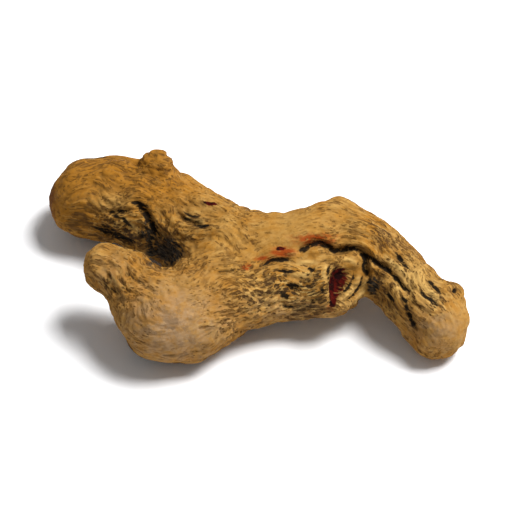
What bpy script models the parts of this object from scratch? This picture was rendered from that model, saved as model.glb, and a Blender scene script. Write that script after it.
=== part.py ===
"""A dried turmeric rhizome lying on a flat surface, modelled as the one solid that it grew as.

Metres, +Z up, +X along the root. The origin is under the middle of the root, on the surface it lies on.
Two bent axes carry the flesh. The spine runs from the blunt left finger over a ridge and a knee to the
right finger. The heel runs from a raised stub round the broad front bulge to a short branch that was
broken off. One skin is laid over both as a smooth blend of round sweeps, and its relief of lumps, rings,
furrows, seam and scars is worked out from the directions of the axis that each point belongs to.
"""

from math import cos, radians, sin

import bmesh
import bpy
import numpy as np
from mathutils import Vector, noise

MM = 0.001  # the tables below are in millimetres

# Each row of an axis is x, y, z and the radius of the flesh there, in millimetres.
SPINE = [
    (-23.0, 11.0, 6.0, 5.5),
    (-18.0, 10.5, 5.9, 6.1),
    (-12.5, 7.8, 6.2, 6.0),
    (-8.0, 4.6, 6.9, 5.6),
    (-4.0, 1.7, 7.4, 5.5),
    (0.5, -0.2, 7.9, 5.2),
    (6.0, -0.1, 8.5, 5.1),
    (11.0, 1.2, 8.9, 4.9),
    (14.6, -0.1, 8.2, 4.8),
    (17.5, -2.8, 7.1, 4.6),
    (21.0, -6.8, 5.9, 4.6),
    (24.6, -10.7, 4.1, 4.5),
]
HEEL = [
    (-20.9, -4.5, 9.9, 3.5),
    (-17.9, -6.1, 9.4, 4.0),
    (-16.0, -7.9, 8.4, 4.5),
    (-12.3, -10.4, 6.2, 6.3),
    (-8.7, -9.9, 6.3, 6.2),
    (-4.6, -7.6, 6.4, 5.7),
    (0.8, -5.8, 6.0, 5.1),
    (6.2, -5.1, 6.2, 4.8),
    (10.9, -5.6, 6.7, 4.7),
]
# The flesh that joins both axes.
WEB = [(-9.6, 1.6, 3.0, 2.4), (-7.8, 0.8, 4.4, 3.8), (-5.5, 1.0, 6.4, 5.2), (-5.0, -6.0, 6.2, 5.4)]

# Small knobs: each is the two rows of its own short axis.
BUD = [(-13.5, 10.5, 9.7, 2.8), (-13.5, 11.5, 11.8, 2.1)]
KNEE = [(11.6, 3.3, 11.0, 2.0), (11.7, 4.0, 11.7, 1.5)]
TOE = [(25.3, -9.2, 6.0, 3.5), (26.1, -8.0, 7.0, 2.3)]
BACK_BUD = [(1.0, 3.6, 5.8, 3.0), (0.6, 5.4, 5.0, 2.2)]

# How far each axis's round ends stand out, first and last, as a share of their radius.
SPINE_ENDS = (0.95, 0.9)
HEEL_ENDS = (0.5, 0.8)
ROUND_ENDS = (1.0, 1.0)

# Widths of the soft blends, in millimetres.
CREASE = 1.9  # spine to heel
FILLET = 2.6  # the web to both
KNOB_FILLET = 1.6

# The relief in millimetres: how high and how long each wave is.
LUMPS = [(0.60, 9.0), (0.36, 4.0), (0.14, 1.9)]
FURROW_DEPTH, FURROW_SPACING, FURROW_LENGTH = 0.38, 1.7, 6.0
FURROW_SHARPNESS = 0.2  # half-width of a furrow, as a share of its wave's height
CREST_SHARE, CUT_SHARE = 0.5, 0.8  # how far crests stand out and furrows cut in, as shares of the depth
RING_HEIGHT, RING_PITCH = 0.07, 3.6
WANDER, WANDER_SIZE = 1.6, 5.0  # how far the furrows and rings stray, and over what length
PLACE_BLEND = 1.0  # how far a place on an axis is averaged over its neighbours
FURROW_SHIFT, WANDER_SHIFTS = 31.0, (57.0, 73.0, 97.0)  # keep the noises apart

# Rubbed places, which have lost most of their furrows and rings: x, y, z and radius.
WORN_LOSS = 0.8
WORN = [
    (4.5, -2.0, 13.0, 6.0),
    (-11.0, -14.0, 9.0, 5.5),
    (-27.0, 11.0, 7.0, 5.0),
    (27.0, -13.0, 6.0, 4.5),
    (-22.5, -3.5, 11.0, 3.5),
]

# The front is described as seen from in front and this far above the surface. A place there is x and its
# rise up the picture.
VIEW_HEIGHT = radians(48.5)
VIEW_RISE = np.array((0, sin(VIEW_HEIGHT), cos(VIEW_HEIGHT)))
VIEW_BACK = np.array((0, -cos(VIEW_HEIGHT), sin(VIEW_HEIGHT)))
FRONT_EDGE = 0.3  # skin whose direction has this share towards the front, or more, counts as front

# Cracks in the front: depth, half-width, and the places that each one joins.
CRACKS = [
    (0.3, 0.40, [(-7.3, 2.1), (-2.7, 2.4), (0.3, 2.9), (1.4, 3.3)]),
    (0.7, 0.40, [(0.6, 3.1), (2.3, 3.7), (4.9, 3.9)]),
    (1.2, 0.45, [(5.4, 4.8), (7.0, 5.7), (8.4, 6.1), (9.6, 5.6), (10.7, 4.9), (11.6, 5.2),
                 (13.4, 5.3), (14.5, 4.0)]),
    (1.2, 0.45, [(13.6, 5.3), (14.5, 4.2), (14.6, 2.5), (15.0, 1.1)]),
    (0.8, 0.40, [(14.0, 4.9), (16.0, 3.5), (17.6, 2.4), (18.7, 1.3), (19.8, 0.0), (21.1, -0.7)]),
    (0.6, 0.38, [(18.6, 5.0), (19.8, 3.3), (21.1, 2.2)]),
    (0.6, 0.40, [(21.8, -0.3), (23.0, -1.4), (24.5, -2.8)]),
    (0.6, 0.40, [(19.7, -1.8), (20.5, -3.5), (21.0, -4.7), (21.5, -6.0)]),
    (0.8, 0.50, [(-16.6, 11.8), (-15.0, 10.1), (-13.9, 8.0), (-12.6, 6.4)]),
    (0.7, 0.45, [(-21.2, 8.9), (-19.1, 7.1), (-16.0, 5.9)]),
    (0.35, 0.40, [(-18.8, 3.1), (-15.3, 0.6), (-12.4, -0.9)]),
    (0.35, 0.40, [(-21.2, 1.1), (-19.4, -0.1), (-17.8, -1.2)]),
    (0.3, 0.45, [(-14.8, -8.3), (-12.2, -9.0), (-9.2, -8.9), (-6.8, -8.0)]),
    (0.5, 0.40, [(-20.4, 10.0), (-18.4, 10.4), (-17.0, 10.0)]),
    (0.4, 0.35, [(-11.4, 10.6), (-9.8, 9.4), (-7.9, 8.7), (-6.6, 7.6)]),
    (0.4, 0.35, [(3.4, 0.5), (5.4, 0.1), (7.6, 0.3)]),
    (0.4, 0.35, [(2.6, -2.2), (4.4, -2.6), (6.6, -2.4)]),
]

# The broken branch ends in an oblique face with a torn hole, longer along SCAR_LONG than across it.
SCAR = np.array((11.1, -7.9, 9.4))
SCAR_FACE = np.array((0.50, -0.50, 0.71))
SCAR_LONG = np.array((0.41, 0.68, 0.61))
SCAR_HALF_LENGTH, SCAR_HALF_WIDTH, SCAR_DEPTH = 2.4, 1.2, 1.7
SCAR_TAPER = 0.45  # how much wider the hole is at its upper end, as a share of its half-width
SCAR_RIMS = [(1.55, 0.28), (2.20, 0.24), (2.85, 0.18)]  # how far out in hole sizes, and how high
SCAR_RIM_WIDTH = 0.20
SCAR_LOW_SIDE = 0.35  # how high the rims are on the side towards the flesh, as a share of the torn side
FACE_BLEND = 1.2

# Pits left by shed rootlets, and the two deep clefts: x, y, z, radius and depth.
PITS = [
    (-11.2, 0.9, 5.4, 2.4, 1.0),
    (15.6, -7.3, 7.2, 1.7, 1.0),
    (26.8, -8.2, 9.0, 0.8, 0.7),
    (5.0, -8.9, 9.2, 0.9, 0.6),
    (3.7, -9.8, 8.5, 0.8, 0.5),
    (-16.5, 15.0, 8.0, 0.8, 0.6),
    (9.0, 5.6, 7.0, 0.9, 0.7),
    (19.0, 0.6, 6.0, 0.7, 0.6),
]

FINE_VOXEL = 0.35  # the skin's mesh before it is thinned, in millimetres
BEAD_GAP = 1.0  # spacing of the beads that the first mesh is cast round, in millimetres
CURVE_STEPS = 3  # steps between two rows of an axis
SETTLE_STEPS = 6
TRIANGLES = 11000


def smooth_axis(rows, steps=CURVE_STEPS):
    """The rows joined by a Catmull-Rom curve, radius included, so that the flesh bends and swells gently."""
    rows = np.array(rows, float)
    if len(rows) < 3:
        return rows
    before, after = 2 * rows[0] - rows[1], 2 * rows[-1] - rows[-2]
    knots = np.vstack([before, rows, after])
    share = np.linspace(0, 1, steps, endpoint=False)[:, None]
    spans = []
    for a, b, c, d in zip(knots[:-3], knots[1:-2], knots[2:-1], knots[3:]):
        bend = (2 * a - 5 * b + 4 * c - d) * share**2 + (3 * b - a - 3 * c + d) * share**3
        spans.append(0.5 * (2 * b + (c - a) * share + bend))
    return np.vstack([*spans, rows[-1:]])


def side_frame(axis):
    """At each row of an axis, two directions across it that don't twist from row to row."""
    tangents = np.gradient(axis[:, :3], axis=0)
    tangents /= np.linalg.norm(tangents, axis=1, keepdims=True)
    side = np.cross(tangents[0], (0, 0, 1.0))
    sides = []
    for tangent in tangents:
        side = side - tangent * (side @ tangent)
        side = side / np.linalg.norm(side)
        sides.append(side)
    sides = np.array(sides)
    return sides, np.cross(tangents, sides)


class Sweep:
    """Round flesh swept along an axis, for measuring points against."""

    def __init__(self, rows, ends=ROUND_ENDS):
        self.axis = smooth_axis(rows)
        self.ends = ends
        self.sides, self.ups = side_frame(self.axis)
        steps = np.linalg.norm(np.diff(self.axis[:, :3], axis=0), axis=1)
        self.along = np.concatenate([[0], np.cumsum(steps)])

    def measure(self, points):
        """For each point: height above the flesh and the direction outwards."""
        height = np.full(len(points), np.inf)
        outwards = np.zeros((len(points), 3))
        last = len(self.axis) - 2
        for i in range(last + 1):
            start, span = self.axis[i, :3], self.axis[i + 1, :3] - self.axis[i, :3]
            length = np.linalg.norm(span)
            reach = ((points - start) @ span) / length**2
            share = np.clip(reach, 0, 1)
            off = points - start - share[:, None] * span
            beyond = (reach - share) * length
            if i > 0:
                beyond = np.maximum(beyond, 0)
            if i < last:
                beyond = np.minimum(beyond, 0)
            blunt = np.where(beyond < 0, self.ends[0], self.ends[1])
            stretched = off + (beyond * (1 / blunt - 1) / length)[:, None] * span
            distance = np.linalg.norm(stretched, axis=1)
            radius = self.axis[i, 3] + share * (self.axis[i + 1, 3] - self.axis[i, 3])
            nearer = distance - radius < height
            height = np.where(nearer, distance - radius, height)
            outwards[nearer] = (stretched / np.maximum(distance, 1e-9)[:, None])[nearer]
        return height, outwards

    def place(self, points):
        """Where each point is along and across the axis, without a jump where the axis bends."""
        distance = [np.linalg.norm(points - row[:3], axis=1) - row[3] for row in self.axis]
        distance = np.stack(distance, axis=1)
        weight = np.exp((distance.min(axis=1, keepdims=True) - distance) / PLACE_BLEND)
        weight /= weight.sum(axis=1, keepdims=True)
        off = points - weight @ self.axis[:, :3]
        across = (off * (weight @ self.sides)).sum(1)
        up = (off * (weight @ self.ups)).sum(1)
        return np.column_stack([weight @ self.along, across, up])


SPINE_FLESH = Sweep(SPINE, SPINE_ENDS)
HEEL_FLESH = Sweep(HEEL, HEEL_ENDS)
WEB_FLESH = Sweep(WEB)
KNOBS = [Sweep(rows) for rows in (BUD, KNEE, TOE, BACK_BUD)]


def blended(first, second, width):
    """Two heights with their outward directions, joined by a fillet of that width."""
    share = np.clip(0.5 + 0.5 * (second[0] - first[0]) / width, 0, 1)
    height = second[0] * (1 - share) + first[0] * share - width * share * (1 - share)
    weight = share[:, None]
    return height, second[1] * (1 - weight) + first[1] * weight


def broken_off(points, heel):
    """The heel's height and direction with the flesh beyond the broken face taken away."""
    face = (points - SCAR) @ SCAR_FACE
    cut = (-face, -np.broadcast_to(SCAR_FACE, points.shape))
    kept = blended((-heel[0], -heel[1]), cut, FACE_BLEND)
    return -kept[0], -kept[1]


def measure_form(points):
    """Height above the plain form, direction outwards, and how far each point belongs to the spine."""
    spine = SPINE_FLESH.measure(points)
    heel = HEEL_FLESH.measure(points)
    form = blended(spine, broken_off(points, heel), CREASE)
    form = blended(form, WEB_FLESH.measure(points), FILLET)
    for knob in KNOBS:
        form = blended(form, knob.measure(points), KNOB_FILLET)
    return form[0], form[1], 1 / (1 + np.exp(spine[0] - heel[0]))


def waves(places, sizes):
    """Smooth noise from -1 to 1 at each place, with a wavelength for each direction."""
    return np.array([noise.noise(place) for place in (places / sizes).tolist()])


def axis_waves(places, spine_share, shift, sizes):
    """Noise whose wavelengths run along and across the axis that each point belongs to."""
    along_spine, along_heel = (waves(place + shift, sizes) for place in places)
    return spine_share * along_spine + (1 - spine_share) * along_heel


def axis_places(points):
    """Where the points are on the spine and on the heel, with a slow wander so that no line runs straight."""
    wander = np.column_stack([waves(points + shift, (WANDER_SIZE,) * 3) for shift in WANDER_SHIFTS])
    return [flesh.place(points) + WANDER * wander for flesh in (SPINE_FLESH, HEEL_FLESH)]


def furrows_and_rings(points, spine_share):
    """Furrows along the flesh and faint rings round it, both weaker where it is rubbed."""
    places = axis_places(points)
    across = axis_waves(places, spine_share, FURROW_SHIFT, (FURROW_LENGTH, FURROW_SPACING, FURROW_SPACING))
    furrow = np.exp(-((across / FURROW_SHARPNESS) ** 2))
    rings = [np.cos(2 * np.pi * place[:, 0] / RING_PITCH) for place in places]
    ring = spine_share * rings[0] + (1 - spine_share) * rings[1]
    height = RING_HEIGHT * ring + FURROW_DEPTH * (CREST_SHARE * np.abs(across) - CUT_SHARE * furrow)
    return height * (1 - WORN_LOSS * worn_share(points))


def nearness(points, middle, radius):
    """From 1 at the middle of a round spot to nearly 0 at twice its radius."""
    return np.exp(-(((points - middle) / radius) ** 2).sum(1))


def worn_share(points):
    """How rubbed each point is, from 0 to 1."""
    worn = np.zeros(len(points))
    for *middle, radius in WORN:
        worn = np.maximum(worn, nearness(points, middle, radius))
    return worn


def front_share(outwards):
    """How far each point belongs to the front, from the direction outwards there."""
    return np.clip(outwards @ VIEW_BACK / FRONT_EDGE, 0, 1)


def crack_share(points, facing, half_width, chain):
    """How far each point is down in one crack, from 0 on the skin to 1 at its bottom."""
    place = np.column_stack([points[:, 0], points @ VIEW_RISE])
    chain = np.array(chain)
    spans = np.diff(chain, axis=0)
    lengths = np.linalg.norm(spans, axis=1)
    starts = np.concatenate([[0], np.cumsum(lengths)])
    nearest = np.full(len(points), np.inf)
    reach = np.zeros(len(points))
    for start, span, length, before in zip(chain, spans, lengths, starts):
        share = np.clip(((place - start) @ span) / length**2, 0, 1)
        distance = np.linalg.norm(place - start - share[:, None] * span, axis=1)
        nearer = distance < nearest
        nearest[nearer] = distance[nearer]
        reach[nearer] = ((before + share * length) / starts[-1])[nearer]
    taper = np.sqrt(np.clip(4 * reach * (1 - reach), 0, 1))
    return facing * taper * np.exp(-((nearest / half_width) ** 2))


def scar_relief(points, facing):
    """The torn hole with its fibrous rims, and how much of each point belongs to the hole."""
    off = points - SCAR
    along = off @ SCAR_LONG
    across = off @ np.cross(SCAR_LONG, SCAR_FACE)
    half_width = SCAR_HALF_WIDTH * (1 + SCAR_TAPER * np.clip(along / SCAR_HALF_LENGTH, -1, 1))
    reach = np.hypot(along / SCAR_HALF_LENGTH, across / half_width)
    hollow = facing * np.exp(-(reach**4))
    rims = sum(rise * np.exp(-(((reach - out) / SCAR_RIM_WIDTH) ** 2)) for out, rise in SCAR_RIMS)
    torn = SCAR_LOW_SIDE + (1 - SCAR_LOW_SIDE) * np.clip(across / SCAR_HALF_WIDTH, 0, 1)
    return facing * rims * torn - SCAR_DEPTH * hollow, hollow


def relief(points, outwards, spine_share):
    """Height of the skin over the plain form."""
    height = sum(rise * waves(points, (size, size, size)) for rise, size in LUMPS)
    height += furrows_and_rings(points, spine_share)
    facing = front_share(outwards)
    rims, hollow = scar_relief(points, facing)
    height = height * (1 - hollow) + rims
    for depth, half_width, chain in CRACKS:
        height -= depth * crack_share(points, facing, half_width, chain)
    for *middle, radius, depth in PITS:
        height -= depth * nearness(points, middle, radius)
    return height


def beads():
    """Spheres along every axis, which overlap into a first rough body."""
    mesh = bpy.data.meshes.new("beads")
    bm = bmesh.new()
    for flesh in (SPINE_FLESH, HEEL_FLESH, WEB_FLESH, *KNOBS):
        reach = np.arange(0, flesh.along[-1] + BEAD_GAP, BEAD_GAP)
        rows = np.column_stack([np.interp(reach, flesh.along, column) for column in flesh.axis.T])
        for x, y, z, radius in rows:
            made = bmesh.ops.create_icosphere(bm, subdivisions=3, radius=radius * MM)
            bmesh.ops.translate(bm, verts=made["verts"], vec=Vector((x, y, z)) * MM)
    bm.to_mesh(mesh)
    bm.free()
    return bpy.data.objects.new("beads", mesh)


def without_bubbles(mesh):
    """The mesh with only its largest connected skin."""
    bm = bmesh.new()
    bm.from_mesh(mesh)
    loose, skins = set(bm.verts), []
    while loose:
        skin = front = {loose.pop()}
        while front:
            front = {edge.other_vert(vert) for vert in front for edge in vert.link_edges} & loose
            loose -= front
            skin = skin | front
        skins.append(skin)
    skins.sort(key=len)
    bmesh.ops.delete(bm, geom=[vert for skin in skins[:-1] for vert in skin], context="VERTS")
    bm.to_mesh(mesh)
    bm.free()
    return mesh


def applied(obj):
    """The mesh of an object as its modifiers leave it."""
    bpy.context.collection.objects.link(obj)
    graph = bpy.context.evaluated_depsgraph_get()
    mesh = bpy.data.meshes.new_from_object(obj.evaluated_get(graph))
    bpy.data.objects.remove(obj)
    return mesh


def remeshed(obj):
    """One closed skin round an object, in even quads."""
    remesh = obj.modifiers.new("skin", "REMESH")
    remesh.mode = "VOXEL"
    remesh.voxel_size = FINE_VOXEL * MM
    return applied(obj)


def mesh_points(mesh):
    points = np.empty(len(mesh.vertices) * 3)
    mesh.vertices.foreach_get("co", points)
    return points.reshape(-1, 3)


def set_points(mesh, points):
    mesh.vertices.foreach_set("co", points.ravel())
    mesh.update()


def shape_skin(mesh):
    """Settles the skin on the plain form, then raises its relief."""
    points = mesh_points(mesh) / MM
    for _ in range(SETTLE_STEPS):
        height, outwards, _ = measure_form(points)
        steep = np.maximum((outwards**2).sum(1), 0.25)
        points -= outwards * (height / steep)[:, None]
    _, outwards, spine_share = measure_form(points)
    outwards /= np.maximum(np.linalg.norm(outwards, axis=1), 1e-6)[:, None]
    points += outwards * relief(points, outwards, spine_share)[:, None]
    set_points(mesh, points * MM)


def thinned(mesh):
    """The skin in fewer triangles, more of them where it bends."""
    obj = bpy.data.objects.new("fine", mesh)
    decimate = obj.modifiers.new("thin", "DECIMATE")
    decimate.ratio = TRIANGLES / (2 * len(mesh.polygons))
    decimate.use_collapse_triangulate = True
    return applied(obj)


def flatten_feet(mesh):
    """Presses the lowest spots flat on the surface that the root lies on."""
    points = mesh_points(mesh)
    points[:, 2] = np.maximum(points[:, 2], 0)
    set_points(mesh, points)


def skin_material():
    material = bpy.data.materials.new("turmeric_skin")
    material.use_nodes = True
    shader = material.node_tree.nodes["Principled BSDF"]
    shader.inputs["Base Color"].default_value = (0.29, 0.15, 0.042, 1)
    shader.inputs["Roughness"].default_value = 0.72
    shader.inputs["Metallic"].default_value = 0.0
    return material


def main():
    for obj in list(bpy.data.objects):
        bpy.data.objects.remove(obj)
    skin = remeshed(beads())
    shape_skin(skin)
    skin = thinned(without_bubbles(remeshed(bpy.data.objects.new("shaped", skin))))
    flatten_feet(skin)
    skin.shade_smooth()
    skin.materials.append(skin_material())
    root = bpy.data.objects.new("turmeric_root", skin)
    bpy.context.collection.objects.link(root)


main()
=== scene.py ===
"""The look of a dried turmeric rhizome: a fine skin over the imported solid, its colours, a floor and light.

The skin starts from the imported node, is laid on the same form that the solid was made from, and gets the
wrinkles, dashes and grain that are too fine for the solid. What each place of the skin is like, such as how
deep it lies in a furrow, is kept in attributes that its material reads.
"""

from math import atan, cos, radians, sin

import bpy
import numpy as np
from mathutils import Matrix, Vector, noise


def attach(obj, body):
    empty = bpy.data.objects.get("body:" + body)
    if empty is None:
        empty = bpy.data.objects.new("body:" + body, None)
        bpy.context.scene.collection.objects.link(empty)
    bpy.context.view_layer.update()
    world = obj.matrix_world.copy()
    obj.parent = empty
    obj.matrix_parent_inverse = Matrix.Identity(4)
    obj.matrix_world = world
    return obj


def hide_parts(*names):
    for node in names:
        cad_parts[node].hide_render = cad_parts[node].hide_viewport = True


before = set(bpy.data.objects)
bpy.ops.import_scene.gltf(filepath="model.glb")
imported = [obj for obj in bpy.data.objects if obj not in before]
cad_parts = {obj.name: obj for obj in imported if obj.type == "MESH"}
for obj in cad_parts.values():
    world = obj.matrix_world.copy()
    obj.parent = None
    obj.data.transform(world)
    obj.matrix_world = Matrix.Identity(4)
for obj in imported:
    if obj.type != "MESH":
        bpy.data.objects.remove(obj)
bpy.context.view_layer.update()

MM = 0.001  # the tables below are in millimetres

# Each row of an axis is x, y, z and the radius of the flesh there, in millimetres.
SPINE = [
    (-23.0, 11.0, 6.0, 5.5),
    (-18.0, 10.5, 5.9, 6.1),
    (-12.5, 7.8, 6.2, 6.0),
    (-8.0, 4.6, 6.9, 5.6),
    (-4.0, 1.7, 7.4, 5.5),
    (0.5, -0.2, 7.9, 5.2),
    (6.0, -0.1, 8.5, 5.1),
    (11.0, 1.2, 8.9, 4.9),
    (14.6, -0.1, 8.2, 4.8),
    (17.5, -2.8, 7.1, 4.6),
    (21.0, -6.8, 5.9, 4.6),
    (24.6, -10.7, 4.1, 4.5),
]
HEEL = [
    (-20.9, -4.5, 9.9, 3.5),
    (-17.9, -6.1, 9.4, 4.0),
    (-16.0, -7.9, 8.4, 4.5),
    (-12.3, -10.4, 6.2, 6.3),
    (-8.7, -9.9, 6.3, 6.2),
    (-4.6, -7.6, 6.4, 5.7),
    (0.8, -5.8, 6.0, 5.1),
    (6.2, -5.1, 6.2, 4.8),
    (10.9, -5.6, 6.7, 4.7),
]
# The flesh that joins both axes.
WEB = [(-9.6, 1.6, 3.0, 2.4), (-7.8, 0.8, 4.4, 3.8), (-5.5, 1.0, 6.4, 5.2), (-5.0, -6.0, 6.2, 5.4)]

# Small knobs: each is the two rows of its own short axis.
BUD = [(-13.5, 10.5, 9.7, 2.8), (-13.5, 11.5, 11.8, 2.1)]
KNEE = [(11.6, 3.3, 11.0, 2.0), (11.7, 4.0, 11.7, 1.5)]
TOE = [(25.3, -9.2, 6.0, 3.5), (26.1, -8.0, 7.0, 2.3)]
BACK_BUD = [(1.0, 3.6, 5.8, 3.0), (0.6, 5.4, 5.0, 2.2)]

# How far each axis's round ends stand out, first and last, as a share of their radius.
SPINE_ENDS = (0.95, 0.9)
HEEL_ENDS = (0.5, 0.8)
ROUND_ENDS = (1.0, 1.0)

# Widths of the soft blends, in millimetres.
CREASE = 1.9  # spine to heel
FILLET = 2.6  # the web to both
KNOB_FILLET = 1.6

# The relief in millimetres: how high and how long each wave is.
LUMPS = [(0.60, 9.0), (0.36, 4.0), (0.14, 1.9)]
FURROW_DEPTH, FURROW_SPACING, FURROW_LENGTH = 0.38, 1.7, 6.0
FURROW_SHARPNESS = 0.2  # half-width of a furrow, as a share of its wave's height
CREST_SHARE, CUT_SHARE = 0.5, 0.8  # how far crests stand out and furrows cut in, as shares of the depth
RING_HEIGHT, RING_PITCH = 0.07, 3.6
WANDER, WANDER_SIZE = 1.6, 5.0  # how far the furrows and rings stray, and over what length
PLACE_BLEND = 1.0  # how far a place on an axis is averaged over its neighbours
FURROW_SHIFT, WANDER_SHIFTS = 31.0, (57.0, 73.0, 97.0)  # keep the noises apart

# Rubbed places, which have lost most of their furrows and rings: x, y, z and radius.
WORN_LOSS = 0.8
WORN = [
    (4.5, -2.0, 13.0, 6.0),
    (-11.0, -14.0, 9.0, 5.5),
    (-27.0, 11.0, 7.0, 5.0),
    (27.0, -13.0, 6.0, 4.5),
    (-22.5, -3.5, 11.0, 3.5),
]

# The front is described as seen from in front and this far above the surface. A place there is x and its
# rise up the picture.
VIEW_HEIGHT = radians(48.5)
VIEW_RISE = np.array((0, sin(VIEW_HEIGHT), cos(VIEW_HEIGHT)))
VIEW_BACK = np.array((0, -cos(VIEW_HEIGHT), sin(VIEW_HEIGHT)))
FRONT_EDGE = 0.3  # skin whose direction has this share towards the front, or more, counts as front

# Cracks in the front: depth, half-width, and the places that each one joins.
CRACKS = [
    (0.3, 0.40, [(-7.3, 2.1), (-2.7, 2.4), (0.3, 2.9), (1.4, 3.3)]),
    (0.7, 0.40, [(0.6, 3.1), (2.3, 3.7), (4.9, 3.9)]),
    (1.2, 0.45, [(5.4, 4.8), (7.0, 5.7), (8.4, 6.1), (9.6, 5.6), (10.7, 4.9), (11.6, 5.2),
                 (13.4, 5.3), (14.5, 4.0)]),
    (1.2, 0.45, [(13.6, 5.3), (14.5, 4.2), (14.6, 2.5), (15.0, 1.1)]),
    (0.8, 0.40, [(14.0, 4.9), (16.0, 3.5), (17.6, 2.4), (18.7, 1.3), (19.8, 0.0), (21.1, -0.7)]),
    (0.6, 0.38, [(18.6, 5.0), (19.8, 3.3), (21.1, 2.2)]),
    (0.6, 0.40, [(21.8, -0.3), (23.0, -1.4), (24.5, -2.8)]),
    (0.6, 0.40, [(19.7, -1.8), (20.5, -3.5), (21.0, -4.7), (21.5, -6.0)]),
    (0.8, 0.50, [(-16.6, 11.8), (-15.0, 10.1), (-13.9, 8.0), (-12.6, 6.4)]),
    (0.7, 0.45, [(-21.2, 8.9), (-19.1, 7.1), (-16.0, 5.9)]),
    (0.35, 0.40, [(-18.8, 3.1), (-15.3, 0.6), (-12.4, -0.9)]),
    (0.35, 0.40, [(-21.2, 1.1), (-19.4, -0.1), (-17.8, -1.2)]),
    (0.3, 0.45, [(-14.8, -8.3), (-12.2, -9.0), (-9.2, -8.9), (-6.8, -8.0)]),
    (0.5, 0.40, [(-20.4, 10.0), (-18.4, 10.4), (-17.0, 10.0)]),
    (0.4, 0.35, [(-11.4, 10.6), (-9.8, 9.4), (-7.9, 8.7), (-6.6, 7.6)]),
    (0.4, 0.35, [(3.4, 0.5), (5.4, 0.1), (7.6, 0.3)]),
    (0.4, 0.35, [(2.6, -2.2), (4.4, -2.6), (6.6, -2.4)]),
]

# The broken branch ends in an oblique face with a torn hole, longer along SCAR_LONG than across it.
SCAR = np.array((11.1, -7.9, 9.4))
SCAR_FACE = np.array((0.50, -0.50, 0.71))
SCAR_LONG = np.array((0.41, 0.68, 0.61))
SCAR_HALF_LENGTH, SCAR_HALF_WIDTH, SCAR_DEPTH = 2.4, 1.2, 1.7
SCAR_TAPER = 0.45  # how much wider the hole is at its upper end, as a share of its half-width
SCAR_RIMS = [(1.55, 0.28), (2.20, 0.24), (2.85, 0.18)]  # how far out in hole sizes, and how high
SCAR_RIM_WIDTH = 0.20
SCAR_LOW_SIDE = 0.35  # how high the rims are on the side towards the flesh, as a share of the torn side
FACE_BLEND = 1.2

# Pits left by shed rootlets, and the two deep clefts: x, y, z, radius and depth.
PITS = [
    (-11.2, 0.9, 5.4, 2.4, 1.0),
    (15.6, -7.3, 7.2, 1.7, 1.0),
    (26.8, -8.2, 9.0, 0.8, 0.7),
    (5.0, -8.9, 9.2, 0.9, 0.6),
    (3.7, -9.8, 8.5, 0.8, 0.5),
    (-16.5, 15.0, 8.0, 0.8, 0.6),
    (9.0, 5.6, 7.0, 0.9, 0.7),
    (19.0, 0.6, 6.0, 0.7, 0.6),
]

# The fine relief in millimetres.
STRAND_HEIGHT, GROOVE_DEPTH = 0.16, 0.20  # how high pale fibres stand and how low dark ones lie
WRINKLE_DEPTH, WRINKLE_LENGTH, WRINKLE_WIDTH = 0.14, 3.0, 0.55
WRINKLE_SHARPNESS = 0.16  # half-width of a wrinkle, as a share of its wave's height
WRINKLE_WORN_LOSS = 0.7  # how much of the wrinkles is lost where the skin is rubbed
GRAIN_HEIGHT, GRAIN_SIZE = 0.06, 0.9
WRINKLE_SHIFT, GRAIN_SHIFT, ROUGH_SHIFT = 23.0, 41.0, 19.0  # keep the noises apart

# Fibres on the front: half-width and the places that each one joins. Pale ones stand up, dark ones lie low.
PALE_STRANDS = [
    (0.42, [(13.9, 2.0), (13.5, 0.5), (12.6, -0.7), (11.3, -1.5)]),
    (0.38, [(14.8, 1.6), (14.4, -0.3), (13.4, -1.7), (12.1, -2.4)]),
    (0.35, [(11.4, 3.9), (12.6, 3.8), (13.6, 3.1)]),
    (0.30, [(9.6, 3.3), (9.0, 1.9), (9.4, 0.6)]),
    (0.35, [(5.4, 3.2), (6.9, 3.5), (8.3, 3.3)]),
    (0.35, [(4.8, 1.9), (6.3, 1.7), (7.8, 2.1)]),
    (0.45, [(-18.9, 9.8), (-17.0, 8.5), (-15.0, 6.6)]),
    (0.35, [(-9.6, 9.6), (-8.2, 9.0), (-6.8, 8.8)]),
    (0.40, [(17.0, 4.6), (18.6, 3.0), (20.4, 1.5)]),
    (0.40, [(22.0, 0.4), (23.2, -0.5), (24.4, -1.4)]),
]
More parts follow.
